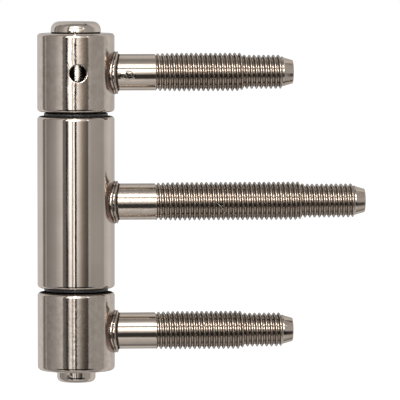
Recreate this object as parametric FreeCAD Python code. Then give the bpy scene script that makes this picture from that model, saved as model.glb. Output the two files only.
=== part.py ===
"""Barrel hinge of three knuckles on one headed pin, each knuckle with a drill-in stud welded to it.

The hinge axis is Z and the studs point along +X. The origin is where the hinge axis crosses the axis of
the leaf stud, so the frame knuckles stand above and below it at equal distances. Millimetres.
"""

import FreeCAD
import Part
import os

from FreeCAD import Vector

# Knuckle barrels
barrel_diameter = 16.0
frame_barrel_height = 16.2
leaf_barrel_height = 35.5
barrel_edge_radius = 0.7
lower_end_edge_radius = 0.9
bore_mouth_chamfer = 0.4

# Hinge pin
pin_diameter = 8.0
pin_radial_clearance = 0.03
pin_head_diameter = 10.4
pin_head_crown_diameter = 10.24
pin_head_height = 2.4
pin_head_edge_radius = 1.6
pin_head_base_chamfer = 0.25
pin_end_projection = 2.4
pin_end_edge_radius = 1.1

# Flanged plastic bushes, one in each end of the leaf barrel
bush_radial_clearance = 0.04
bush_wall = 1.1
bush_sleeve_length = 11.0
bush_lead_chamfer = 0.4
bush_flange_diameter = 13.2
bush_flange_thickness = 0.65
bush_flange_chamfer = 0.15
bush_axial_play = 0.25
bush_seat_end_gap = 0.3
leaf_bore_radial_clearance = 0.4

# Radial hole in the front of the upper barrel, for locking the pin
lock_hole_diameter = 3.5
lock_hole_chamfer = 0.3

# Drill-in studs, measured outwards from the hinge axis
frame_stud_reach = 45.0
leaf_stud_reach = 60.0
weld_bead_diameter = 8.8
weld_bead_height = 0.9
weld_bead_edge_radius = 0.3
shank_diameter = 7.55
thread_start_reach = 16.3
thread_diameter = 8.0
thread_run_out = 0.3
thread_step_length = 1.0
pilot_diameter = 7.1
frame_pilot_length = 7.2
leaf_pilot_length = 10.0
tip_shoulder_length = 1.0
tip_length = 1.9
tip_base_diameter = 5.8
tip_end_diameter = 4.9
tip_chamfer = 0.2

# Heights and radii that follow from the sizes above
X_AXIS = Vector(1, 0, 0)
Z_AXIS = Vector(0, 0, 1)
Y_AXIS = Vector(0, 1, 0)
ORIGIN = Vector(0, 0, 0)
barrel_radius = barrel_diameter / 2
pin_radius = pin_diameter / 2
pin_bore_radius = pin_radius + pin_radial_clearance
bush_bore_radius = pin_radius + bush_radial_clearance
bush_radius = bush_bore_radius + bush_wall
knuckle_gap = bush_flange_thickness + bush_axial_play
leaf_top = leaf_barrel_height / 2
upper_bottom = leaf_top + knuckle_gap
upper_top = upper_bottom + frame_barrel_height
frame_stud_height = upper_bottom + frame_barrel_height / 2
lower_bottom = -upper_top


def outline(corners):
    """Closed wire in the XZ plane through (radius, height, rounding) corners.

    A rounding above zero turns that corner into a tangent arc.
    """
    points = [Vector(radius, 0, height) for radius, height, _ in corners]
    stretches = []
    for index, (_, _, rounding) in enumerate(corners):
        corner = points[index]
        to_last = (points[index - 1] - corner).normalize()
        to_next = (points[(index + 1) % len(points)] - corner).normalize()
        if rounding == 0:
            stretches.append((corner, None, corner))
            continue
        bisector = (to_last + to_next).normalize()
        cosine = bisector.dot(to_next)
        sine = (1 - cosine**2) ** 0.5
        tangent_length = rounding * cosine / sine
        arc_middle = corner + bisector * (rounding / sine - rounding)
        stretches.append((corner + to_last * tangent_length, arc_middle, corner + to_next * tangent_length))
    edges = []
    for index, (start, middle, end) in enumerate(stretches):
        if middle is not None:
            edges.append(Part.Arc(start, middle, end).toShape())
        next_start = stretches[(index + 1) % len(stretches)][0]
        edges.append(Part.LineSegment(end, next_start).toShape())
    return Part.Wire(edges)


def solid_of(shape):
    """The one solid that a shape holds."""
    (solid,) = shape.Solids
    return solid


def turned(corners):
    """Solid of revolution about Z, from the half section that the corners outline."""
    return Part.Face(outline(corners)).revolve(ORIGIN, Z_AXIS, 360)


def frame_barrel(bottom, bottom_edge_radius):
    """Knuckle on the frame side: a plain tube that takes the pin, with its rims rounded."""
    top = bottom + frame_barrel_height
    mouth_radius = pin_bore_radius + bore_mouth_chamfer
    return turned(
        [
            (mouth_radius, bottom, 0),
            (barrel_radius, bottom, bottom_edge_radius),
            (barrel_radius, top, barrel_edge_radius),
            (mouth_radius, top, 0),
            (pin_bore_radius, top - bore_mouth_chamfer, 0),
            (pin_bore_radius, bottom + bore_mouth_chamfer, 0),
        ]
    )


def upper_barrel():
    """Upper frame knuckle, with the chamfered lock hole drilled from its front face through to the bore."""
    hole_radius = lock_hole_diameter / 2
    hole_start = Vector(0, 0, frame_stud_height)
    front = -Y_AXIS
    cone_start = hole_start + front * (barrel_radius - lock_hole_chamfer)
    cone_height = barrel_radius
    hole = Part.makeCylinder(hole_radius, barrel_diameter, hole_start, front)
    countersink = Part.makeCone(hole_radius, hole_radius + cone_height, cone_height, cone_start, front)
    return frame_barrel(upper_bottom, barrel_edge_radius).cut(hole.fuse(countersink))


def leaf_barrel():
    """Knuckle on the door side: longer, with a counterbore in each end for a bush and clearance between."""
    relief_radius = pin_radius + leaf_bore_radial_clearance
    seat_end = leaf_top - bush_sleeve_length - bush_seat_end_gap
    return turned(
        [
            (bush_radius, -leaf_top, 0),
            (barrel_radius, -leaf_top, barrel_edge_radius),
            (barrel_radius, leaf_top, barrel_edge_radius),
            (bush_radius, leaf_top, 0),
            (bush_radius, seat_end, 0),
            (relief_radius, seat_end, 0),
            (relief_radius, -seat_end, 0),
            (bush_radius, -seat_end, 0),
        ]
    )


def upper_bush():
    """Flanged sleeve: the flange lies on the leaf barrel's end and keeps the knuckles apart."""
    sleeve_end = leaf_top - bush_sleeve_length
    flange_radius = bush_flange_diameter / 2
    flange_top = leaf_top + bush_flange_thickness
    return turned(
        [
            (bush_bore_radius, sleeve_end, 0),
            (bush_radius - bush_lead_chamfer, sleeve_end, 0),
            (bush_radius, sleeve_end + bush_lead_chamfer, 0),
            (bush_radius, leaf_top, 0),
            (flange_radius - bush_flange_chamfer, leaf_top, 0),
            (flange_radius, leaf_top + bush_flange_chamfer, 0),
            (flange_radius, flange_top - bush_flange_chamfer, 0),
            (flange_radius - bush_flange_chamfer, flange_top, 0),
            (bush_bore_radius, flange_top, 0),
        ]
    )


def lower_bush():
    """The same bush, turned over for the lower end of the leaf barrel."""
    bush = upper_bush()
    bush.rotate(ORIGIN, Y_AXIS, 180)
    return bush


def hinge_pin():
    """Headed pin through all three knuckles: domed head on top, rounded end standing out below."""
    head_radius = pin_head_diameter / 2
    head_top = upper_top + pin_head_height
    pin_end = lower_bottom - pin_end_projection
    return turned(
        [
            (0, pin_end, 0),
            (pin_radius, pin_end, pin_end_edge_radius),
            (pin_radius, upper_top, 0),
            (head_radius - pin_head_base_chamfer, upper_top, 0),
            (head_radius, upper_top + pin_head_base_chamfer, 0),
            (pin_head_crown_diameter / 2, head_top, pin_head_edge_radius),
            (0, head_top, 0),
        ]
    )


def barrel_envelope(height_above=0):
    """Cylinder about the hinge axis over the stretch that a stud meets, with its seam away from the studs.

    It has the barrel's radius, or stands above the barrel by the height given.
    """
    foot = Vector(0, 0, -barrel_radius)
    envelope = Part.makeCylinder(barrel_radius + height_above, barrel_diameter, foot, Z_AXIS)
    envelope.rotate(ORIGIN, Z_AXIS, 180)
    return envelope


def weld_bead():
    """Bead squeezed out round the stud's root: a collar along the barrel's curve, rounded off."""
    collar = Part.makeCylinder(weld_bead_diameter / 2, barrel_diameter, ORIGIN, X_AXIS)
    bead = collar.common(barrel_envelope(weld_bead_height))
    rim = [edge for edge in bead.Edges if edge.BoundBox.XMin > barrel_radius / 2]
    return bead.makeFillet(weld_bead_edge_radius, rim)


def stud(height, reach, pilot_length):
    """Drill-in stud along +X: plain shank, full thread, thinner pilot thread and a tapered tip.

    The thread is a plain cylinder at its crests. The root is cut to the barrel it is welded to.
    """
    pilot_end = reach - tip_length - tip_shoulder_length
    pilot_start = pilot_end - pilot_length
    rod = turned(
        [
            (0, 0, 0),
            (shank_diameter / 2, 0, 0),
            (shank_diameter / 2, thread_start_reach, 0),
            (thread_diameter / 2, thread_start_reach + thread_run_out, 0),
            (thread_diameter / 2, pilot_start - thread_step_length, 0),
            (pilot_diameter / 2, pilot_start, 0),
            (pilot_diameter / 2, pilot_end, 0),
            (tip_base_diameter / 2, pilot_end + tip_shoulder_length, 0),
            (tip_end_diameter / 2, reach - tip_chamfer, 0),
            (tip_end_diameter / 2 - tip_chamfer, reach, 0),
            (0, reach, 0),
        ]
    )
    rod.rotate(ORIGIN, Y_AXIS, 90)
    finished = rod.fuse(weld_bead()).cut(barrel_envelope()).removeSplitter()
    finished.translate(Vector(0, 0, height))
    return finished


pieces = {
    "upper_barrel": upper_barrel(),
    "upper_stud": stud(frame_stud_height, frame_stud_reach, frame_pilot_length),
    "leaf_barrel": leaf_barrel(),
    "leaf_stud": stud(0, leaf_stud_reach, leaf_pilot_length),
    "lower_barrel": frame_barrel(lower_bottom, lower_end_edge_radius),
    "lower_stud": stud(-frame_stud_height, frame_stud_reach, frame_pilot_length),
    "hinge_pin": hinge_pin(),
    "upper_bush": upper_bush(),
    "lower_bush": lower_bush(),
}

os.makedirs("parts", exist_ok=True)
for name, shape in pieces.items():
    piece = solid_of(shape)
    piece.exportStep(os.path.join("parts", name + ".step"))
    print(f"{name}: volume {piece.Volume:.1f} mm3, {len(piece.Faces)} faces, valid {piece.isValid()}")
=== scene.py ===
import bpy
import bmesh
import math
from mathutils import Matrix, Vector, noise


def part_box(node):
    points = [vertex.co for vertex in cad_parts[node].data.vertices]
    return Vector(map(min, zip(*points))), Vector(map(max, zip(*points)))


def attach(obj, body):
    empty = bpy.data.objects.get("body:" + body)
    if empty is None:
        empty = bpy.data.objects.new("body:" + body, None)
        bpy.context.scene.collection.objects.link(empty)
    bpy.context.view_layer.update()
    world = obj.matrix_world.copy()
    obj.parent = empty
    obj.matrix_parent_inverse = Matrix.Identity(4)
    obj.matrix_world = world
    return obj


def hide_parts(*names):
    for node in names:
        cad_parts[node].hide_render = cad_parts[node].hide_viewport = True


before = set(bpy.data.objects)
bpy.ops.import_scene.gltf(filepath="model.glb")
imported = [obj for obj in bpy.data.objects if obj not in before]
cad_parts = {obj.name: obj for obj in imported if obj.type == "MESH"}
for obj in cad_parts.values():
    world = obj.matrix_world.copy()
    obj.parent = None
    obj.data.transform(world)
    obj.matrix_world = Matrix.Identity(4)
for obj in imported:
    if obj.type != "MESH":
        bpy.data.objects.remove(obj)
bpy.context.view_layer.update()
mm = 0.001  # pieces are modelled in millimetres and scaled to metres at the end
print("frame loaded:", len(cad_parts), "nodes")


# Sizes read from the frame, in millimetres

def boxOf(node):
    low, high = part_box(node)
    return low / mm, high / mm


upperLow, upperHigh = boxOf("upper_barrel")
leafLow, leafHigh = boxOf("leaf_barrel")
lowerLow, lowerHigh = boxOf("lower_barrel")
pinLow, pinHigh = boxOf("hinge_pin")
upperBushLow, upperBushHigh = boxOf("upper_bush")
lowerBushLow, lowerBushHigh = boxOf("lower_bush")
barrelRadius = upperHigh.x
upperMiddle = (upperLow.z + upperHigh.z) / 2
leafMiddle = (leafLow.z + leafHigh.z) / 2
lowerMiddle = (lowerLow.z + lowerHigh.z) / 2


# Camera: a long lens, a little above the hinge and to its left

camera = dict(aim=(25.7, 0.0, 0.25), distance=1000.0, azimuth=-4.85, elevation=3.5, lens=434.8, sensor=36.0,
              clipEnd=20.0)


def makeCamera():
    azimuth = math.radians(camera["azimuth"])
    elevation = math.radians(camera["elevation"])
    outward = Vector((math.sin(azimuth) * math.cos(elevation),
                      -math.cos(azimuth) * math.cos(elevation),
                      math.sin(elevation)))
    data = bpy.data.cameras.new("photoCamera")
    data.lens = camera["lens"]
    data.sensor_width = camera["sensor"]
    data.clip_end = camera["clipEnd"]
    eye = bpy.data.objects.new("photoCamera", data)
    eye.location = (Vector(camera["aim"]) + outward * camera["distance"]) * mm
    eye.rotation_euler = (-outward).to_track_quat("-Z", "Y").to_euler()
    bpy.context.scene.collection.objects.link(eye)
    bpy.context.scene.camera = eye


makeCamera()
bpy.context.scene.view_settings.view_transform = "Standard"
print("camera set")


# Node helpers

white = (1, 1, 1, 1)


def put(tree, kind, settings=None, sockets=None):
    made = tree.nodes.new(kind)
    for key, value in (settings or {}).items():
        setattr(made, key, value)
    for key, value in (sockets or {}).items():
        if isinstance(value, bpy.types.NodeSocket):
            tree.links.new(value, made.inputs[key])
        else:
            made.inputs[key].default_value = value
    return made


def calc(tree, operation, first, second=0.0):
    return put(tree, "ShaderNodeMath", {"operation": operation}, {0: first, 1: second}).outputs[0]


def blend(tree, share, first, second):
    return put(tree, "ShaderNodeMix", sockets={0: share, 2: first, 3: second}).outputs[0]


def blendColor(tree, share, first, second):
    return put(tree, "ShaderNodeMix", {"data_type": "RGBA"}, {0: share, 6: first, 7: second}).outputs[2]


def remap(tree, value, span, to=(0.0, 1.0), curve="LINEAR"):
    return put(tree, "ShaderNodeMapRange", {"interpolation_type": curve},
               {0: value, 1: span[0], 2: span[1], 3: to[0], 4: to[1]}).outputs[0]


def within(tree, value, span):
    above = calc(tree, "GREATER_THAN", value, span[0])
    return calc(tree, "MULTIPLY", above, calc(tree, "LESS_THAN", value, span[1]))


def rampOver(tree, share, stops):
    ramp = put(tree, "ShaderNodeValToRGB", sockets={0: share})
    elements = ramp.color_ramp.elements
    while len(elements) < len(stops):
        elements.new(0.5)
    for element, (position, level) in zip(elements, stops):
        element.position = position
        element.color = (level,) * 3 + (1,)
    return ramp.outputs[0]


def placeIn(tree):
    return put(tree, "ShaderNodeTexCoord").outputs["Object"]


def axesIn(tree):
    return put(tree, "ShaderNodeSeparateXYZ", sockets={0: placeIn(tree)}).outputs


def noiseIn(tree, **sockets):
    return put(tree, "ShaderNodeTexNoise", sockets=sockets).outputs["Fac"]


def attributeIn(tree, name):
    return put(tree, "ShaderNodeAttribute", {"attribute_name": name}).outputs["Fac"]


def bumpIn(tree, height, distance, **sockets):
    sockets.update(Height=height, Distance=distance * mm)
    return put(tree, "ShaderNodeBump", sockets=sockets).outputs[0]


def blank(name):
    material = bpy.data.materials.new(name)
    material.use_nodes = True
    material.node_tree.nodes.clear()
    return material, material.node_tree


def stagePiece(bm, name, material):
    mesh = bpy.data.meshes.new(name)
    bm.to_mesh(mesh)
    bm.free()
    mesh.materials.append(material)
    made = bpy.data.objects.new(name, mesh)
    bpy.context.scene.collection.objects.link(made)
    return made


# Light tent: panels seen only in reflections, as (angle in degrees, brightness) from panel to panel.
# around runs about the hinge axis from the front, positive towards the studs' tips;
# over runs about the studs' axis from the front, positive upwards; rise is the height above the horizon

tent = dict(
    radius=1.0,
    segments=(48, 24),
    brightest=5.0,
    left=[(-180, 0.7), (-152, 0.82), (-138, 0.95), (-124, 1.0), (-119, 0.6), (-116, 0.26), (-111.5, 0.26),
          (-108, 0.4), (-105.5, 0.66), (-103.5, 0.66), (-101, 0.36), (-87, 0.43), (-68, 0.55), (-58, 0.78),
          (-46, 1.02), (-43.8, 0.95), (-42.6, 0.26), (-33.7, 0.25), (-32.6, 0.05), (-27.1, 0.05),
          (-25.7, 1.3), (-22.8, 3.0), (-17, 3.6), (-15.2, 1.0), (-11.2, 1.0), (-10.2, 3.0), (-8.2, 3.0),
          (-7, 0.04), (180, 0.04)],
    right=[(-180, 1.6), (-0.5, 1.6), (3, 1.42), (6, 1.12), (9, 0.95), (12, 0.73), (15, 0.55), (18, 0.43),
           (21, 0.335), (27, 0.23), (32.6, 0.16), (33.6, 0.57), (36, 0.74), (39, 0.66), (46, 0.58),
           (86.5, 0.54), (89.5, 0.76), (100, 0.87), (112, 0.98), (121, 0.91), (135, 0.78), (152, 0.68),
           (180, 0.5)],
    rightFrom=-1.4,
    over=[(-180, 1.0), (-125, 0.95), (-116, 0.8), (-108, 0.42), (-99, 0.2), (-90, 0.5), (-70, 0.72),
          (-48, 0.88), (-42, 0.6), (-38, 0.1), (-33, 0.045), (-14, 0.045), (-10, 0.25), (-7, 0.48),
          (-4.4, 0.68), (-1.8, 0.87), (0, 0.98), (9, 2.4), (14, 3.4), (22, 2.0), (25.2, 1.2), (25.8, 0.05),
          (30.2, 0.05), (30.8, 1.2), (36, 3.2), (49, 2.8), (54, 1.2), (60, 0.75), (68, 0.48), (88, 0.36),
          (104, 0.85), (180, 1.05)],
    overAtBarrels=0.87,
    rise=[(-180, 1.0), (-41, 1.0), (-37, 0.1), (-16, 0.1), (-9, 0.8), (-3, 1.0), (180, 1.0)],
    belt=[(-180, 0), (-75, 0), (-55, 1), (42, 1), (60, 0), (180, 0)],
    softbox=(-29, -11.2),
    softboxFall=[(-180, 0.45), (-9, 0.48), (-6.9, 0.52), (-4.4, 0.58), (-1.8, 0.94), (0, 1), (180, 1)],
    front=(-1.4, 33.4),
    frontTint=(1.0, 0.93, 0.84, 1),
    tinted=dict(around=(9, 33.4), rise=(-9, 7)),
    overhead=dict(around=(-34, 29), rise=(7, 60)),
    overheadGain=[(-180, 1.25), (9, 1.25), (13, 0.6), (27, 0.4), (180, 0.4)],
    lamp=dict(around=(-11.5, -3.5), gain=12.0, cutoff=0.9, least=0.03),
    tipCard=dict(around=(31, 36), rise=(14, 34), level=3.0),
    topGap=dict(around=(60, 140), rise=(62, 66), level=0.03),
    cap=(47.0, 55.0),
)


def panels(tree, stops, angle):
    share = calc(tree, "MULTIPLY_ADD", angle, 1 / 360)
    share.node.inputs[2].default_value = 0.5
    scaled = [(degrees / 360 + 0.5, level / tent["brightest"]) for degrees, level in stops]
    return calc(tree, "MULTIPLY", rampOver(tree, share, scaled), tent["brightest"])


def tentAngles(tree):
    axes = axesIn(tree)
    towards = calc(tree, "MULTIPLY", axes["Y"], -1.0)
    around = calc(tree, "DEGREES", calc(tree, "ARCTAN2", axes["X"], towards))
    over = calc(tree, "DEGREES", calc(tree, "ARCTAN2", axes["Z"], towards))
    squares = [calc(tree, "POWER", axes[axis], 2.0) for axis in ("X", "Y")]
    flat = calc(tree, "SQRT", calc(tree, "ADD", squares[0], squares[1]))
    rise = calc(tree, "DEGREES", calc(tree, "ARCTAN2", axes["Z"], flat))
    return around, over, rise


def makeTent():
    material, tree = blank("tentPanels")
    aroundAngle, overAngle, rise = tentAngles(tree)

    def onCard(card):
        inRise = within(tree, rise, card["rise"])
        return calc(tree, "MULTIPLY", within(tree, aroundAngle, card["around"]), inRise)

    left, right = [panels(tree, tent[side], aroundAngle) for side in ("left", "right")]
    around = blend(tree, calc(tree, "GREATER_THAN", aroundAngle, tent["rightFrom"]), left, right)
    inSoftbox = within(tree, aroundAngle, tent["softbox"])
    fall = blend(tree, inSoftbox, 1.0, panels(tree, tent["softboxFall"], rise))
    around = calc(tree, "MULTIPLY", around, fall)
    over = panels(tree, tent["over"], overAngle)
    sides = blend(tree, panels(tree, tent["belt"], aroundAngle), 1.0, panels(tree, tent["rise"], rise))
    frontPanel = calc(tree, "MULTIPLY", around, calc(tree, "DIVIDE", over, tent["overAtBarrels"]))
    sidePanel = calc(tree, "MULTIPLY", around, sides)
    walls = blend(tree, within(tree, aroundAngle, tent["front"]), sidePanel, frontPanel)
    lamp = tent["lamp"]
    beam = calc(tree, "MULTIPLY", calc(tree, "SUBTRACT", over, lamp["cutoff"]), lamp["gain"])
    beam = calc(tree, "MAXIMUM", beam, lamp["least"])
    overhead = calc(tree, "MULTIPLY", over, panels(tree, tent["overheadGain"], aroundAngle))
    overhead = blend(tree, within(tree, aroundAngle, lamp["around"]), overhead, beam)
    walls = blend(tree, onCard(tent["overhead"]), walls, overhead)
    capped = remap(tree, calc(tree, "ABSOLUTE", rise), tent["cap"], curve="SMOOTHSTEP")
    level = blend(tree, capped, walls, over)
    for card in (tent["tipCard"], tent["topGap"]):
        level = blend(tree, onCard(card), level, card["level"])
    tint = blendColor(tree, onCard(tent["tinted"]), white, tent["frontTint"])
    glow = put(tree, "ShaderNodeEmission", sockets={"Color": tint, "Strength": level})
    put(tree, "ShaderNodeOutputMaterial", sockets={"Surface": glow.outputs[0]})
    bm = bmesh.new()
    turns, rows = tent["segments"]
    bmesh.ops.create_uvsphere(bm, u_segments=turns, v_segments=rows, radius=tent["radius"])
    made = stagePiece(bm, "lightTent", material)
    made.visible_camera = False
    made.visible_diffuse = False
    made.visible_shadow = False


# Floor just under the pin's end, white to the camera but for the soft shadow

floor = dict(size=6.0, drop=0.05, glow=0.97, paint=0.2)


def makeFloor():
    material, tree = blank("paleFloor")
    paint = put(tree, "ShaderNodeBsdfDiffuse", sockets={"Color": (floor["paint"],) * 3 + (1,)})
    glow = put(tree, "ShaderNodeEmission", sockets={"Strength": floor["glow"]})
    both = put(tree, "ShaderNodeAddShader", sockets={0: paint.outputs[0], 1: glow.outputs[0]})
    put(tree, "ShaderNodeOutputMaterial", sockets={"Surface": both.outputs[0]})
    bm = bmesh.new()
    bmesh.ops.create_grid(bm, x_segments=1, y_segments=1, size=floor["size"] / 2)
    bmesh.ops.translate(bm, verts=bm.verts[:], vec=(0, 0, (pinLow.z - floor["drop"]) * mm))
    made = stagePiece(bm, "floor", material)
    made.visible_glossy = False


# White backdrop for what is seen and reflected, softer light on the object

backdrop = dict(seen=1.0, light=0.55)


def makeWorld():
    world = bpy.data.worlds.new("backdrop")
    bpy.context.scene.world = world
    world.use_nodes = True
    tree = world.node_tree
    tree.nodes.clear()
    ray = put(tree, "ShaderNodeLightPath").outputs
    mirrored = calc(tree, "MAXIMUM", ray["Is Glossy Ray"], ray["Is Transmission Ray"])
    shown = calc(tree, "MAXIMUM", ray["Is Camera Ray"], mirrored)
    level = blend(tree, shown, backdrop["light"], backdrop["seen"])
    sky = put(tree, "ShaderNodeBackground", sockets={"Color": white, "Strength": level})
    put(tree, "ShaderNodeOutputWorld", sockets={"Surface": sky.outputs[0]})


# Two soft lamps model the plastic and lay the shadow

lamps = [
    dict(name="keyLamp", place=(-420, -600, 520), size=0.5, watts=5.0),
    dict(name="fillLamp", place=(620, -300, 420), size=0.6, watts=2.5),
]


def makeLamps():
    for lamp in lamps:
        data = bpy.data.lights.new(lamp["name"], "AREA")
        data.size = lamp["size"]
        data.energy = lamp["watts"]
        made = bpy.data.objects.new(lamp["name"], data)
        made.location = Vector(lamp["place"]) * mm
        made.rotation_euler = (-made.location).to_track_quat("-Z", "Y").to_euler()
        made.visible_camera = False
        made.visible_glossy = False
        bpy.context.scene.collection.objects.link(made)


makeTent()
makeFloor()
makeWorld()
makeLamps()
print("stage set")


# Shared effects, each a node group that the finishes place with their own values

def newGroup(name, inputs, outputs):
    group = bpy.data.node_groups.new(name, "ShaderNodeTree")
    for label, value in inputs:
        socket = group.interface.new_socket(label, in_out="INPUT", socket_type="NodeSocketFloat")
        socket.default_value = value
    for label in outputs:
        group.interface.new_socket(label, in_out="OUTPUT", socket_type="NodeSocketFloat")
    return group, group.nodes.new("NodeGroupInput").outputs, group.nodes.new("NodeGroupOutput").inputs


# Waves in the plating, with finer ones on them, and clouds of a duller tone

ripple = dict(fineRatio=4.3, cloudRatio=0.35)


def makePlatingWaves():
    group, given, result = newGroup("platingWaves", [("Scale", 400.0), ("Fine", 0.3)], ["Height", "Cloud"])
    place = placeIn(group)
    fineScale = calc(group, "MULTIPLY", given["Scale"], ripple["fineRatio"])
    cloudScale = calc(group, "MULTIPLY", given["Scale"], ripple["cloudRatio"])
    wide = noiseIn(group, Vector=place, Scale=given["Scale"], Detail=2.0)
    fine = noiseIn(group, Vector=place, Scale=fineScale, Detail=1.0)
    cloud = noiseIn(group, Vector=place, Scale=cloudScale, Detail=4.0)
    height = calc(group, "ADD", wide, calc(group, "MULTIPLY", fine, given["Fine"]))
    group.links.new(height, result["Height"])
    group.links.new(cloud, result["Cloud"])
    return group


# Hairline marks from handling

hairline = dict(turn=(0.4, 0.2, 0.7), stretch=(1.0, 1.0, 0.06), edge=(0.62, 0.7))


def makeHandlingMarks():
    group, given, result = newGroup("handlingMarks", [("Scale", 900.0), ("Amount", 0.2)], ["Mask"])
    drawn = put(group, "ShaderNodeMapping", sockets={"Vector": placeIn(group), "Rotation": hairline["turn"],
                                                     "Scale": hairline["stretch"]}).outputs[0]
    hair = noiseIn(group, Vector=drawn, Scale=given["Scale"], Detail=3.0)
    line = remap(group, hair, hairline["edge"])
    group.links.new(calc(group, "MULTIPLY", line, given["Amount"]), result["Mask"])
    return group


# Painted shade, as dark as a mesh's own vertex attribute asks, broken into patches

crevice = dict(patches=(0.3, 0.7), spread=(0.5, 1.0))


def makeCreviceShade():
    group, given, result = newGroup("creviceShade", [("Scale", 1500.0), ("Amount", 0.6)], ["Mask"])
    patchy = noiseIn(group, Vector=placeIn(group), Scale=given["Scale"], Detail=3.0)
    spread = remap(group, patchy, crevice["patches"], crevice["spread"])
    deep = calc(group, "MULTIPLY", attributeIn(group, "shadeWeight"), spread)
    mask = calc(group, "MULTIPLY", deep, given["Amount"])
    mask.node.use_clamp = True
    group.links.new(mask, result["Mask"])
    return group


# A patch of blisters on the front of a piece, with painted dark reflection in their hollows

blistering = dict(grain=1050.0, twist=1.2, edge=(0.3, 1.0), hollow=(0.42, 0.52))


def makeBlisters():
    inputs = [("X", 0.0), ("Z", 0.0), ("Half X", 0.001), ("Half Z", 0.001)]
    group, given, result = newGroup("blisters", inputs, ["Height", "Dark Reflection"])
    axes = axesIn(group)
    squares = []
    for axis in ("X", "Z"):
        offset = calc(group, "SUBTRACT", axes[axis], given[axis])
        squares.append(calc(group, "POWER", calc(group, "DIVIDE", offset, given["Half " + axis]), 2.0))
    away = calc(group, "ADD", squares[0], squares[1])
    inside = remap(group, away, blistering["edge"], (1.0, 0.0), "SMOOTHSTEP")
    patch = calc(group, "MULTIPLY", inside, calc(group, "LESS_THAN", axes["Y"], 0.0))
    wrinkle = noiseIn(group, Vector=placeIn(group), Scale=blistering["grain"], Detail=2.0,
                      Distortion=blistering["twist"])
    hollow = remap(group, wrinkle, blistering["hollow"], (1.0, 0.0))
    group.links.new(calc(group, "MULTIPLY", wrinkle, patch), result["Height"])
    group.links.new(calc(group, "MULTIPLY", hollow, patch), result["Dark Reflection"])
    return group


# Painted shade and reflection of the bead: a brown lens on the barrel beside it

beadLens = dict(color=(0.24, 0.17, 0.14, 1), halfAcross=5.78, halfAlong=4.45, edge=(0.8, 1.05))


def makeBeadShadeLens():
    group, given, result = newGroup("beadShadeLens", [("Height", 0.0)], ["Mask"])
    axes = axesIn(group)
    above = calc(group, "SUBTRACT", axes["Z"], given["Height"])
    across = calc(group, "POWER", calc(group, "DIVIDE", axes["Y"], beadLens["halfAcross"] * mm), 4.0)
    along = calc(group, "POWER", calc(group, "DIVIDE", above, beadLens["halfAlong"] * mm), 4.0)
    inside = remap(group, calc(group, "ADD", across, along), beadLens["edge"], (1.0, 0.0), "SMOOTHSTEP")
    onStudSide = calc(group, "GREATER_THAN", axes["X"], 0.0)
    group.links.new(calc(group, "MULTIPLY", inside, onStudSide), result["Mask"])
    return group


platingWaves = makePlatingWaves()
handlingMarks = makeHandlingMarks()
creviceShade = makeCreviceShade()
blisters = makeBlisters()
beadShadeLens = makeBeadShadeLens()


def effect(tree, group, **values):
    return put(tree, "ShaderNodeGroup", {"node_tree": group}, values).outputs


# Scratch across the front of a thread, along (x, z) places: how far a spot lies above or below it,
# and whether it is beside it at all

# the scratch is a pale, rough line in painted highlight colour, with painted shadow on both sides
scratch = dict(path=[(29.0, -0.25), (29.4, -0.58), (30.0, -1.16), (30.4, -2.07), (31.0, -2.8)],
               half=0.09, shadowHalf=0.3, rough=0.6, color=(0.9, 0.86, 0.8, 1))


def offPath(tree, path):
    axes = axesIn(tree)
    (start, top), (end, low) = path[0], path[-1]
    share = remap(tree, axes["X"], (start * mm, end * mm))
    heights = [((x - start) / (end - start), (z - low) / (top - low)) for x, z in path]
    line = remap(tree, rampOver(tree, share, heights), (0.0, 1.0), (low * mm, top * mm))
    off = calc(tree, "ABSOLUTE", calc(tree, "SUBTRACT", axes["Z"], line))
    onStretch = within(tree, axes["X"], (start * mm, end * mm))
    return off, calc(tree, "MULTIPLY", onStretch, calc(tree, "LESS_THAN", axes["Y"], 0.0))


# Nickel finishes: one recipe, with its own values for each kind of piece

barrelLook = dict(tone=(0.52, 0.452, 0.398), dull=(0.44, 0.375, 0.32), rough=(0.06, 0.11), waveScale=1800.0,
                  waveHeight=0.009, fine=0.3, marks=0.1, paintedShade=1.0)
studLook = dict(tone=(0.53, 0.455, 0.39), dull=(0.46, 0.39, 0.33), rough=(0.06, 0.1), waveScale=600.0,
                waveHeight=0.008, fine=0.4, marks=0.12, paintedShade=0.9)
nickels = dict(
    barrelNickel=dict(barrelLook, beadLensHeight=upperMiddle),
    lowerNickel=dict(barrelLook, waveScale=2600.0, waveHeight=0.007, marks=0.12, beadLensHeight=lowerMiddle),
    leafNickel=dict(barrelLook, dull=(0.46, 0.395, 0.34), rough=(0.06, 0.1), waveScale=300.0,
                    waveHeight=0.008, fine=0.25, marks=0.12, beadLensHeight=leafMiddle),
    studNickel=studLook,
    blisteredNickel=dict(studLook, blister=dict(x=10.5, z=26.2, half=(1.8, 1.1), depth=0.1)),
    scarredNickel=dict(studLook, rough=(0.075, 0.12), waveScale=3000.0, waveHeight=0.011, scar=scratch),
    weldNickel=dict(tone=(0.55, 0.48, 0.42), dull=(0.44, 0.37, 0.31), rough=(0.08, 0.2), waveScale=1500.0,
                    waveHeight=0.008, fine=0.5, marks=0.0, paintedShade=0.95),
    pinNickel=dict(tone=(0.53, 0.465, 0.41), dull=(0.48, 0.415, 0.36), rough=(0.06, 0.1), waveScale=350.0,
                   waveHeight=0.006, fine=0.25, marks=0.08, paintedShade=0.9,
                   blister=dict(x=-1.75, z=-36.05, half=(0.6, 0.5), depth=0.1)),
)
wearShadeAndSheen = dict(
    # the first colour here is painted shade, the second a painted highlight; the roughness and cloud values
    # are real wear
    shadeColor=(0.03, 0.021, 0.015, 1), sheenColor=(0.88, 0.82, 0.75, 1),
    dullCloud=(0.35, 0.7), roughCloud=(0.3, 0.75),
    marksRough=0.5, sheenRough=0.1, shadeRough=0.3,  # what each mask adds to the roughness
    film=(0.6, 0.95),  # painted shade turns from darkened metal to a dull film
)


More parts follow.
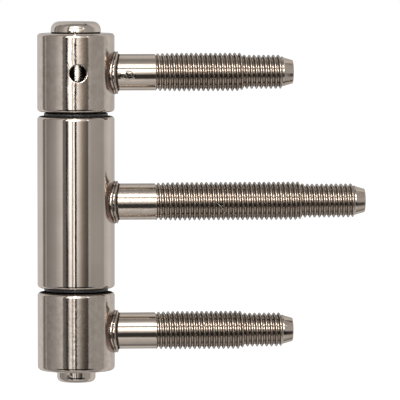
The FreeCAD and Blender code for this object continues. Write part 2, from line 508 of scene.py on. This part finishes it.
def makeNickel(name):
    look = nickels[name]
    material, tree = blank(name)
    waves = effect(tree, platingWaves, Scale=look["waveScale"], Fine=look["fine"])
    marks = effect(tree, handlingMarks, Amount=look["marks"])["Mask"]
    paintedShade = effect(tree, creviceShade, Amount=look["paintedShade"])["Mask"]
    # a painted highlight read from the mesh's own attribute: paler, slightly rougher metal
    paintedSheen = attributeIn(tree, "paintedSheen")
    cloud = remap(tree, waves["Cloud"], wearShadeAndSheen["dullCloud"])
    color = blendColor(tree, cloud, look["tone"] + (1,), look["dull"] + (1,))
    color = blendColor(tree, paintedSheen, color, wearShadeAndSheen["sheenColor"])
    # painted shade and reflection of the bead, as a brown lens on the barrel
    if "beadLensHeight" in look:
        lensShade = effect(tree, beadShadeLens, Height=look["beadLensHeight"] * mm)["Mask"]
        color = blendColor(tree, lensShade, color, beadLens["color"])
    # painted shade: the mask darkens the metal in gaps, recesses, thread flanks and edges
    color = blendColor(tree, paintedShade, color, wearShadeAndSheen["shadeColor"])
    rough = remap(tree, waves["Cloud"], wearShadeAndSheen["roughCloud"], look["rough"])
    for mask, kind in ((marks, "marksRough"), (paintedSheen, "sheenRough"), (paintedShade, "shadeRough")):
        rough = calc(tree, "ADD", rough, calc(tree, "MULTIPLY", mask, wearShadeAndSheen[kind]))
    normal = bumpIn(tree, waves["Height"], look["waveHeight"])
    if "blister" in look:
        patch = look["blister"]
        halfX, halfZ = patch["half"]
        values = {"X": patch["x"] * mm, "Z": patch["z"] * mm, "Half X": halfX * mm, "Half Z": halfZ * mm}
        raised = effect(tree, blisters, **values)
        # painted dark reflection in the blisters' hollows
        color = blendColor(tree, raised["Dark Reflection"], color, wearShadeAndSheen["shadeColor"])
        normal = bumpIn(tree, raised["Height"], patch["depth"], Normal=normal)
    if "scar" in look:
        scar = look["scar"]
        off, beside = offPath(tree, scar["path"])
        # painted shadow beside the scratch, and a painted highlight along it
        paintedShadow = calc(tree, "MULTIPLY", calc(tree, "LESS_THAN", off, scar["shadowHalf"] * mm), beside)
        paintedGlint = calc(tree, "MULTIPLY", calc(tree, "LESS_THAN", off, scar["half"] * mm), beside)
        color = blendColor(tree, paintedShadow, color, wearShadeAndSheen["shadeColor"])
        color = blendColor(tree, paintedGlint, color, scar["color"])
        rough = calc(tree, "MAXIMUM", rough, calc(tree, "MULTIPLY", paintedGlint, scar["rough"]))
    metallic = remap(tree, paintedShade, wearShadeAndSheen["film"], (1.0, 0.0))
    surface = {"Base Color": color, "Metallic": metallic, "Roughness": rough, "Specular IOR Level": 0.0,
               "Normal": normal}
    shader = put(tree, "ShaderNodeBsdfPrincipled", sockets=surface)
    put(tree, "ShaderNodeOutputMaterial", sockets={"Surface": shader.outputs[0]})
    return material


# Moulded black plastic with a fine grain

plastic = dict(tone=(0.022, 0.022, 0.024, 1), pale=(0.038, 0.038, 0.04, 1), cloud=(0.3, 0.7),
               rough=(0.36, 0.55), grain=2600.0, fine=0.5, grainHeight=0.01)


def makePlastic():
    material, tree = blank("bushBlack")
    waves = effect(tree, platingWaves, Scale=plastic["grain"], Fine=plastic["fine"])
    tone = blendColor(tree, waves["Cloud"], plastic["tone"], plastic["pale"])
    rough = remap(tree, waves["Cloud"], plastic["cloud"], plastic["rough"])
    normal = bumpIn(tree, waves["Height"], plastic["grainHeight"])
    surface = {"Base Color": tone, "Roughness": rough, "Normal": normal}
    shader = put(tree, "ShaderNodeBsdfPrincipled", sockets=surface)
    put(tree, "ShaderNodeOutputMaterial", sockets={"Surface": shader.outputs[0]})
    return material


finishes = {name: makeNickel(name) for name in nickels}
finishes["bushBlack"] = makePlastic()
print("finishes made:", ", ".join(finishes))


# Modelling helpers

turnSteps = 192
sharpAngle = math.radians(35)
near = 0.01  # how close two places count as the same


def spinProfile(corners, closed, axis=(0, 0, 1), steps=turnSteps):
    bm = bmesh.new()
    verts = [bm.verts.new(corner) for corner in corners]
    edges = [bm.edges.new(pair) for pair in zip(verts, verts[1:])]
    if closed:
        edges.append(bm.edges.new((verts[-1], verts[0])))
    bmesh.ops.spin(bm, geom=verts + edges, cent=(0, 0, 0), axis=axis, dvec=(0, 0, 0), angle=2 * math.pi,
                   steps=steps, use_merge=True, use_normal_flip=False, use_duplicate=False)
    bmesh.ops.remove_doubles(bm, verts=bm.verts[:], dist=0.0001)
    bmesh.ops.recalc_face_normals(bm, faces=bm.faces[:])
    return bm


def radiusOf(vert):
    return math.hypot(vert.co.x, vert.co.y)


def roundRing(bm, radius, height, size, segments=6):
    def onRing(vert):
        return abs(radiusOf(vert) - radius) < 2 * near and abs(vert.co.z - height) < 2 * near

    ring = [edge for edge in bm.edges if all(onRing(vert) for vert in edge.verts)]
    bmesh.ops.bevel(bm, geom=ring, offset=size, offset_type="OFFSET", segments=segments,
                    profile=0.5, affect="EDGES", material=-1)


def cutAcross(bm, point, normal, **options):
    everything = bm.verts[:] + bm.edges[:] + bm.faces[:]
    bmesh.ops.bisect_plane(bm, geom=everything, plane_co=point, plane_no=normal, **options)


def finishPiece(bm, name, body, finish, replaced=None):
    bmesh.ops.recalc_face_normals(bm, faces=bm.faces[:])
    for face in bm.faces:
        face.smooth = True
    for edge in bm.edges:
        edge.smooth = len(edge.link_faces) == 2 and edge.calc_face_angle() < sharpAngle
    bmesh.ops.scale(bm, vec=(mm, mm, mm), verts=bm.verts[:])
    mesh = bpy.data.meshes.new(name)
    bm.to_mesh(mesh)
    bm.free()
    mesh.materials.append(finishes[finish])
    piece = bpy.data.objects.new(name, mesh)
    bpy.context.scene.collection.objects.link(piece)
    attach(piece, body)
    if replaced:
        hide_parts(replaced)
    print(name, "made:", len(mesh.polygons), "faces")


# Knuckle barrels, with painted shade on the ends that face another knuckle

barrel = dict(rimRounding=0.7, lowEndRounding=0.9, support=0.06, boreRadius=4.03, mouthChamfer=0.4,
              bushSeatRadius=5.14, endShade=1.8)


def tubeOf(low, high, boreRadius, mouthRadius, shadedEnds, endRounding=barrel["rimRounding"]):
    chamfer = mouthRadius - boreRadius
    beside = barrel["rimRounding"] + barrel["support"]
    besideEnd = endRounding + barrel["support"]
    corners = [(mouthRadius, 0, low.z), (barrelRadius - besideEnd, 0, low.z), (barrelRadius, 0, low.z),
               (barrelRadius, 0, low.z + besideEnd), (barrelRadius, 0, high.z - beside),
               (barrelRadius, 0, high.z), (barrelRadius - beside, 0, high.z), (mouthRadius, 0, high.z),
               (boreRadius, 0, high.z - chamfer), (boreRadius, 0, low.z + chamfer)]
    bm = spinProfile(corners, closed=True)
    shadeWeight = bm.verts.layers.float.new("shadeWeight")
    for vert in bm.verts:
        # painted shade on the inner part of each end that faces another knuckle
        onEnd = any(abs(vert.co.z - end) < near for end in shadedEnds)
        if onEnd and radiusOf(vert) < barrelRadius - beside + near:
            vert[shadeWeight] = barrel["endShade"]
    roundRing(bm, barrelRadius, low.z, endRounding)
    roundRing(bm, barrelRadius, high.z, barrel["rimRounding"])
    return bm


# Lock hole in the front of the upper barrel, through to the bore.
# Its lip runs inwards as (beyond the hole's radius, below the barrel's face)

lockHole = dict(
    radius=1.75, segments=64, windowSteps=9, windowHalf=2.4, cuts=7, wallFrom=0.21, wallShade=2.0,
    lip=[(0.25, 0.0), (0.21, 0.0), (0.14, 0.018), (0.07, 0.062), (0.02, 0.12), (0.0, 0.2)],
)


def holeLoop(bm, radius, faceRadius, depth=0.0):
    matrix = Matrix.Translation((0, 0, upperMiddle)) @ Matrix.Rotation(math.pi / 2, 4, "X")
    verts = bmesh.ops.create_circle(bm, cap_ends=False, radius=radius, segments=lockHole["segments"],
                                    matrix=matrix)["verts"]
    for vert in verts:
        vert.co.y = depth - math.sqrt(faceRadius**2 - vert.co.x**2)
    return list({edge for vert in verts for edge in vert.link_edges})


def cutLockHole(bm):
    half = lockHole["windowHalf"]
    for step in range(-lockHole["cuts"], lockHole["cuts"] + 1):
        cutAcross(bm, (0, 0, upperMiddle + step * half / lockHole["cuts"]), (0, 0, 1), dist=0.0001)
    spread = lockHole["windowSteps"] * 2 * math.pi / turnSteps

    def inWindow(face):
        centre = face.calc_center_median()
        return abs(math.atan2(centre.x, -centre.y)) < spread and abs(centre.z - upperMiddle) < half

    bmesh.ops.delete(bm, geom=[face for face in bm.faces if inWindow(face)], context="FACES")
    borders = [edge for edge in bm.edges if edge.is_boundary]
    bore = barrel["boreRadius"]
    halfway = (barrelRadius + bore) / 2
    outside = [edge for edge in borders if radiusOf(edge.verts[0]) > halfway]
    inside = [edge for edge in borders if radiusOf(edge.verts[0]) < halfway]
    loops = [outside]
    for width, depth in lockHole["lip"] + [(0.0, lockHole["wallFrom"])]:
        loops.append(holeLoop(bm, lockHole["radius"] + width, barrelRadius, depth))
    loops.append(holeLoop(bm, lockHole["radius"], bore))
    # painted shade on the hole's wall, from just below the lip down to the bore
    shadeWeight = bm.verts.layers.float["shadeWeight"]
    for vert in {vert for loop in loops[-2:] for edge in loop for vert in edge.verts}:
        vert[shadeWeight] = lockHole["wallShade"]
    for first, second in zip(loops, loops[1:] + [inside]):
        bmesh.ops.bridge_loops(bm, edges=first + second)


def makeBarrels():
    bore, seat = barrel["boreRadius"], barrel["bushSeatRadius"]
    mouth = bore + barrel["mouthChamfer"]
    upper = tubeOf(upperLow, upperHigh, bore, mouth, [upperLow.z])
    cutLockHole(upper)
    finishPiece(upper, "upperKnuckle", "upper_frame", "barrelNickel", "upper_barrel")
    leaf = tubeOf(leafLow, leafHigh, seat, seat, [leafLow.z, leafHigh.z])
    finishPiece(leaf, "leafKnuckle", "door_leaf", "leafNickel", "leaf_barrel")
    lower = tubeOf(lowerLow, lowerHigh, bore, mouth, [lowerHigh.z], barrel["lowEndRounding"])
    finishPiece(lower, "lowerKnuckle", "lower_frame", "lowerNickel", "lower_barrel")


makeBarrels()


# Hinge pin with its domed head. A round mark behind the lock hole has a painted highlight on one side and
# painted shade on the other, painted shade rings it where the knuckles leave a gap, and a painted shadow
# lies under the head

pin = dict(radius=4.0, crownRadius=5.12, headRounding=1.6, baseChamfer=0.25, endRounding=1.1, support=0.1,
           sideSupport=(0.001, 0.04), markRadius=2.6, markFade=0.4, markRings=7, sheenFrom=-0.5,
           gapFade=0.2, paintedShade=1.8, baseShadow=2.0)


def pinProfile(gaps):
    radius, crown = pin["radius"], pin["crownRadius"]
    headRadius = pinHigh.x
    seat = upperHigh.z
    base = seat + pin["baseChamfer"]
    inset, above = pin["sideSupport"]
    crownFlat = pin["headRounding"] + pin["support"]
    endFlat = pin["endRounding"] + pin["support"]
    fade, count = pin["gapFade"], pin["markRings"]
    rings = [z for low, high in gaps for z in (low - fade, low, high, high + fade)]
    rings += [upperMiddle + step * pin["markRadius"] / count for step in range(-count, count + 1)]
    corners = [(0, 0, pinLow.z), (radius - endFlat, 0, pinLow.z), (radius, 0, pinLow.z),
               (radius, 0, pinLow.z + endFlat)]
    corners += [(radius, 0, z) for z in rings]
    corners += [(radius, 0, seat), (headRadius - pin["baseChamfer"], 0, seat), (headRadius, 0, base),
                (headRadius - inset, 0, base + above), (crown, 0, pinHigh.z),
                (crown - crownFlat, 0, pinHigh.z), (0, 0, pinHigh.z)]
    return corners, base


def makePin():
    gaps = [(lowerHigh.z, lowerBushLow.z), (upperBushHigh.z, upperLow.z)]
    corners, base = pinProfile(gaps)
    bm = spinProfile(corners, closed=False)
    shadeWeight = bm.verts.layers.float.new("shadeWeight")
    paintedSheen = bm.verts.layers.float.new("paintedSheen")
    for vert in bm.verts:
        # painted shadow on the head's base chamfer
        if radiusOf(vert) > pin["radius"] + pin["support"] and vert.co.z < base + near:
            vert[shadeWeight] = pin["baseShadow"]
        if abs(radiusOf(vert) - pin["radius"]) < near:
            # behind the lock hole: painted highlight on the right part of the mark, painted shade on the
            # left
            inMark = pin["markRadius"] - math.hypot(vert.co.x, vert.co.z - upperMiddle)
            if inMark > 0 and vert.co.y < 0:
                strength = min(1.0, inMark / pin["markFade"])
                if vert.co.x > pin["sheenFrom"]:
                    vert[paintedSheen] = strength
                else:
                    vert[shadeWeight] = pin["paintedShade"] * strength
            # painted shade where the knuckles leave a gap
            if any(low - near < vert.co.z < high + near for low, high in gaps):
                vert[shadeWeight] = pin["paintedShade"]
    roundRing(bm, pin["crownRadius"], pinHigh.z, pin["headRounding"], segments=10)
    roundRing(bm, pin["radius"], pinLow.z, pin["endRounding"], segments=10)
    finishPiece(bm, "hingePin", "pin", "pinNickel", "hinge_pin")


makePin()


# Flanged bushes in the leaf barrel's ends

bush = dict(boreRadius=4.04, sleeveRadius=5.14, edgeRounding=0.15)


def makeBush(name, node, flangeRadius, flangeEnd, sleeveEnd, seat):
    corners = [(bush["boreRadius"], 0, sleeveEnd), (bush["sleeveRadius"], 0, sleeveEnd),
               (bush["sleeveRadius"], 0, seat), (flangeRadius, 0, seat), (flangeRadius, 0, flangeEnd),
               (bush["boreRadius"], 0, flangeEnd)]
    bm = spinProfile(corners, closed=True)
    roundRing(bm, flangeRadius, seat, bush["edgeRounding"], segments=3)
    roundRing(bm, flangeRadius, flangeEnd, bush["edgeRounding"], segments=3)
    finishPiece(bm, name, "door_leaf", "bushBlack", node)


makeBush("upperBush", "upper_bush", upperBushHigh.x, upperBushHigh.z, upperBushLow.z, leafHigh.z)
makeBush("lowerBush", "lower_bush", lowerBushHigh.x, lowerBushLow.z, lowerBushHigh.z, leafLow.z)


# Weld beads: two lips squeezed out between barrel and stud, as (share of the way to the stud, radius).
# Painted shade lies in the seam between them and along both edges, as (strength or start, fade)

bead = dict(
    inner=3.7, sink=0.15, steps=180, top=8.85, dip=3.0, drop=0.1,
    lips=[(0.0, 4.0), (0.05, 4.2), (0.1, 4.34), (0.16, 4.42), (0.24, 4.45), (0.34, 4.45), (0.41, 4.4),
          (0.45, 4.25), (0.49, 4.25), (0.54, 4.36), (0.62, 4.42), (0.7, 4.43), (0.78, 4.41), (0.85, 4.32),
          (0.91, 4.08), (0.96, 3.86), (1.0, 3.74)],
    seam=0.47, seamShade=(1.6, 0.05), barrelSideShade=(0.9, 0.12), studSideShade=(0.82, 0.07),
    smoothLumps=0.05, roughLumps=0.1, lumpSize=0.9, lumpSpread=(4.4, 1.6), fineLumps=0.6, fineRatio=2.2,
)


def saddle(y):
    return math.sqrt(barrelRadius**2 - y**2)


def beadTop(y):
    return bead["top"] - bead["dip"] * (y / barrelRadius)**2


def beadShade(share):
    seamStrength, seamFade = bead["seamShade"]
    barrelStrength, barrelFade = bead["barrelSideShade"]
    studStart, studFade = bead["studSideShade"]
    inSeam = seamStrength - abs(share - bead["seam"]) / seamFade
    return max(inSeam, barrelStrength - share / barrelFade, (share - studStart) / studFade, 0.0)


def beadLump(around, share, seed):
    acrossSpread, alongSpread = bead["lumpSpread"]
    spot = Vector((around.x * acrossSpread, around.y * acrossSpread, share * alongSpread)) * bead["lumpSize"]
    lump = noise.noise(spot + Vector((seed, 0, 0)))
    lump += bead["fineLumps"] * noise.noise(spot * bead["fineRatio"] + Vector((0, seed, 0)))
    lumps = bead["smoothLumps"] if share < bead["seam"] else bead["roughLumps"]
    return lumps * lump * math.sin(math.pi * share)**0.5


def makeBead(name, body, height, seed):
    corners = [(0, 0, bead["inner"])] + [(share, 0, radius) for share, radius in bead["lips"]]
    corners.append((1, 0, bead["inner"]))
    bm = spinProfile(corners, closed=True, axis=(1, 0, 0), steps=bead["steps"])
    shadeWeight = bm.verts.layers.float.new("shadeWeight")
    for vert in bm.verts:
        share = vert.co.x
        radius = math.hypot(vert.co.y, vert.co.z)
        around = Vector((vert.co.y, vert.co.z)) / radius
        if radius > bead["inner"] + near:
            radius += beadLump(around, share, seed)
            # painted shade in the seam and along the bead's edges
            vert[shadeWeight] = beadShade(share)
        y, z = around.x * radius, around.y * radius
        base = saddle(y) - bead["sink"]
        vert.co = Vector((base + (beadTop(y) - base) * share, y, z))
    bmesh.ops.translate(bm, verts=bm.verts[:], vec=(0, 0, height - bead["drop"]))
    finishPiece(bm, name, body, "weldNickel")


# Drill-in studs with a real helix. A tooth runs from root to root as
# (share of the pitch, share of the depth, painted shade), darkest on the flank towards the tip; the painted
# shade at the stud's foot is (distance from the bead, painted shade), and the corner of the tip is (inset,
# back from the end)

stud = dict(
    pitch=1.0, steps=96,
    tooth=[(0.0, 0.0, 0.0), (0.04, 0.01, 0.0), (0.07, 0.04, 0.1), (0.11, 0.13, 0.4), (0.24, 0.5, 0.45),
           (0.33, 0.76, 0.35), (0.38, 0.9, 0.1), (0.4, 0.945, 0.0), (0.425, 0.975, 0.0), (0.46, 0.995, 0.0),
           (0.5, 1.0, 0.0), (0.54, 0.995, 0.0), (0.575, 0.975, 0.0), (0.6, 0.945, 0.3), (0.62, 0.9, 1.0),
           (0.68, 0.74, 1.2), (0.75, 0.55, 1.0), (0.79, 0.43, 0.5), (0.89, 0.13, 0.4), (0.93, 0.04, 0.1),
           (0.96, 0.01, 0.0)],
    # the next values paint shade on the thread's top and bottom and on the stud's foot
    edgeShade=0.6, edgeFrom=0.7, edgeFade=0.25,
    shankRadius=3.775, shankLoops=(0.25, 0.5, 0.75), shankFoot=1.0, footShade=[(0.27, 0.0), (0.12, 1.6)],
    threadStart=16.3, plainBefore=0.4, firstRise=0.3, fullFrom=20.4, stepLength=1.0, runOut=0.25,
    crest=4.0, root=3.37, firstCrest=3.88, pilotCrest=3.55, pilotRoot=2.98,
    tipShoulder=0.7, tipLength=1.9, tipBase=2.95, tipEnd=2.47,
    tipCorner=[(-0.005, 0.25), (0.02, 0.15), (0.08, 0.07), (0.18, 0.02), (0.35, 0.0)],
)
studs = [
    dict(name="upper", node="upper_stud", body="upper_frame", finish="blisteredNickel", pilotLength=7.5,
         phase=-0.6, seed=3.1),
    dict(name="leaf", node="leaf_stud", body="door_leaf", finish="scarredNickel", pilotLength=10.3,
         phase=-0.47, seed=7.7),
    dict(name="lower", node="lower_stud", body="lower_frame", finish="studNickel", pilotLength=7.5,
         phase=-0.43, seed=11.3),
]


def between(stops, x):
    for (x0, value0), (x1, value1) in zip(stops, stops[1:]):
        if x <= x1:
            return value0 + (value1 - value0) * max(0.0, (x - x0) / (x1 - x0))
    return stops[-1][1]


def threadEnvelope(reach, pilotLength):
    pilotEnd = reach - stud["tipLength"] - stud["tipShoulder"]
    pilotStart = pilotEnd - pilotLength
    stepStart = pilotStart - stud["stepLength"]
    start = stud["threadStart"]
    tip = reach - stud["tipLength"]
    crest = [(start, stud["shankRadius"]), (start + stud["firstRise"], stud["firstCrest"]),
             (stud["fullFrom"], stud["crest"]), (stepStart, stud["crest"]), (pilotStart, stud["pilotCrest"]),
             (pilotEnd, stud["pilotCrest"]), (tip, stud["tipBase"])]
    root = [(start, stud["shankRadius"]), (start + stud["runOut"], stud["root"]), (stepStart, stud["root"]),
            (pilotStart, stud["pilotRoot"]), (pilotEnd, stud["pilotRoot"]), (tip, stud["tipBase"])]
    return crest, root, tip


def boundaryAt(bm, x):
    def onPlane(edge):
        return all(abs(vert.co.x - x) < 0.001 for vert in edge.verts)

    return [edge for edge in bm.edges if edge.is_boundary and onPlane(edge)]


def extrudeLoop(bm, edges, place):
    grown = bmesh.ops.extrude_edge_only(bm, edges=edges)["geom"]
    for vert in [item for item in grown if isinstance(item, bmesh.types.BMVert)]:
        vert.co = place(vert.co)
    return [item for item in grown if isinstance(item, bmesh.types.BMEdge) and item.is_boundary]


def atRadius(co, radius, x):
    scale = radius / math.hypot(co.y, co.z)
    return Vector((x, co.y * scale, co.z * scale))


def spinThread(start, tip, phase):
    pitch, steps = stud["pitch"], stud["steps"]
    turns = math.ceil((tip - start) / pitch) + 3
    first = math.floor(start) - 2 * pitch + phase
    bm = bmesh.new()
    shadeWeight = bm.verts.layers.float.new("shadeWeight")
    # the profile stands at radius 1 in the roots and 2 on the crests until the envelope is laid on
    verts = []
    for turn in range(turns + 1):
        for share, depth, shadeLevel in stud["tooth"]:
            verts.append(bm.verts.new((first + (turn + share) * pitch, 0, 1 + depth)))
            # each profile point carries its painted shade
            verts[-1][shadeWeight] = shadeLevel
    edges = [bm.edges.new(pair) for pair in zip(verts, verts[1:])]
    bmesh.ops.spin(bm, geom=verts + edges, cent=(0, 0, 0), axis=(1, 0, 0), angle=2 * math.pi, steps=steps,
                   dvec=(pitch / steps, 0, 0), use_merge=False, use_normal_flip=False, use_duplicate=False)
    bmesh.ops.remove_doubles(bm, verts=bm.verts[:], dist=0.0005)
    return bm


def layEnvelope(bm, crest, root):
    shadeWeight = bm.verts.layers.float["shadeWeight"]
    fullDepth = stud["crest"] - stud["root"]
    for vert in bm.verts:
        radius = math.hypot(vert.co.y, vert.co.z)
        share = min(1.0, max(0.0, radius - 1))
        low, high = between(root, vert.co.x), between(crest, vert.co.x)
        # painted shade towards the top and bottom of the stud
        steep = (abs(vert.co.z) / radius - stud["edgeFrom"]) / stud["edgeFade"]
        vert[shadeWeight] += stud["edgeShade"] * min(1.0, max(0.0, steep))
        vert[shadeWeight] *= (high - low) / fullDepth
        vert.co = atRadius(vert.co, low + share * (high - low), vert.co.x)


def growShank(bm, start):
    shadeWeight = bm.verts.layers.float["shadeWeight"]
    run = barrelRadius + stud["shankFoot"] - start
    loop = boundaryAt(bm, start)
    for share in stud["shankLoops"]:
        loop = extrudeLoop(bm, loop, lambda co: atRadius(co, stud["shankRadius"], start + run * share))
    # painted shade on the shank beside the bead
    for beyond, shadeLevel in stud["footShade"]:
        loop = extrudeLoop(bm, loop, lambda co: Vector((beadTop(co.y) + beyond, co.y, co.z)))
        for vert in {vert for edge in loop for vert in edge.verts}:
            vert[shadeWeight] = shadeLevel
    loop = extrudeLoop(bm, loop, lambda co: Vector((saddle(co.y), co.y, co.z)))
    bmesh.ops.edgeloop_fill(bm, edges=loop)


def growTip(bm, tip, reach):
    loop = boundaryAt(bm, tip)
    for inset, back in stud["tipCorner"]:
        loop = extrudeLoop(bm, loop, lambda co: atRadius(co, stud["tipEnd"] - inset, reach - back))
    bmesh.ops.edgeloop_fill(bm, edges=loop)


def makeStud(name, piece, height, reach):
    crest, root, tip = threadEnvelope(reach, piece["pilotLength"])
    start = stud["threadStart"] - stud["plainBefore"]
    bm = spinThread(start, tip, piece["phase"])
    layEnvelope(bm, crest, root)
    for x, side in ((start, -1), (tip, 1)):
        cutAcross(bm, (x, 0, 0), (side, 0, 0), dist=0.0005, clear_outer=True)
    growShank(bm, start)
    growTip(bm, tip, reach)
    bmesh.ops.translate(bm, verts=bm.verts[:], vec=(0, 0, height))
    finishPiece(bm, name, piece["body"], piece["finish"], piece["node"])


for piece in studs:
    studLow, studHigh = boxOf(piece["node"])
    height = (studLow.z + studHigh.z) / 2
    makeStud(piece["name"] + "Stud", piece, height, studHigh.x)
    makeBead(piece["name"] + "Weld", piece["body"], height, piece["seed"])

print("all pieces ride their bodies")
